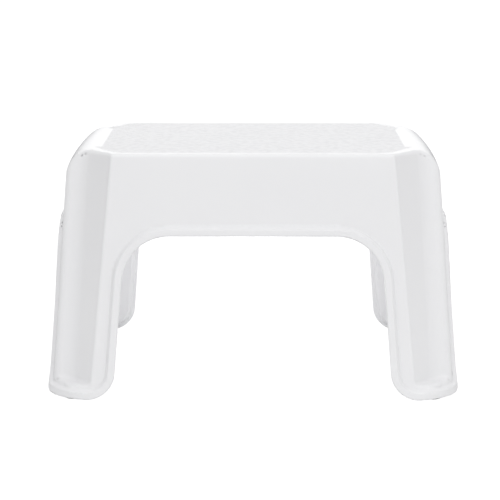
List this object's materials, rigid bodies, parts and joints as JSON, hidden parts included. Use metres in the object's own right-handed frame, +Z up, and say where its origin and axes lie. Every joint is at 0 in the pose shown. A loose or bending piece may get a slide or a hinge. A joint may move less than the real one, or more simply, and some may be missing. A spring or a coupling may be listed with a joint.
{
  "type": "one-step moulded plastic stool",
  "caption": "Low one-step stool: a thin moulded plastic shell with splayed hollow legs, arched sides, fluted corners, a grained tread and slip-resistant foot pads.",
  "frame": {"origin": "on the floor, at the centre of the stool's footprint", "axes": "+Z up, X along the stool's long side, Y across it; the stool is the same seen from the front and the rear"},
  "size_m": [0.3996, 0.286, 0.235],
  "materials": {
    "shell_plastic": "white polypropylene, satin outside, finely grained on the tread",
    "pad_rubber": "matt grey thermoplastic rubber"
  },
  "bodies": {
    "root": {"stool_shell": "shell_plastic", "foot_pad_front_left": "pad_rubber", "foot_pad_front_right": "pad_rubber", "foot_pad_rear_left": "pad_rubber", "foot_pad_rear_right": "pad_rubber"}
  },
  "joints": []
}
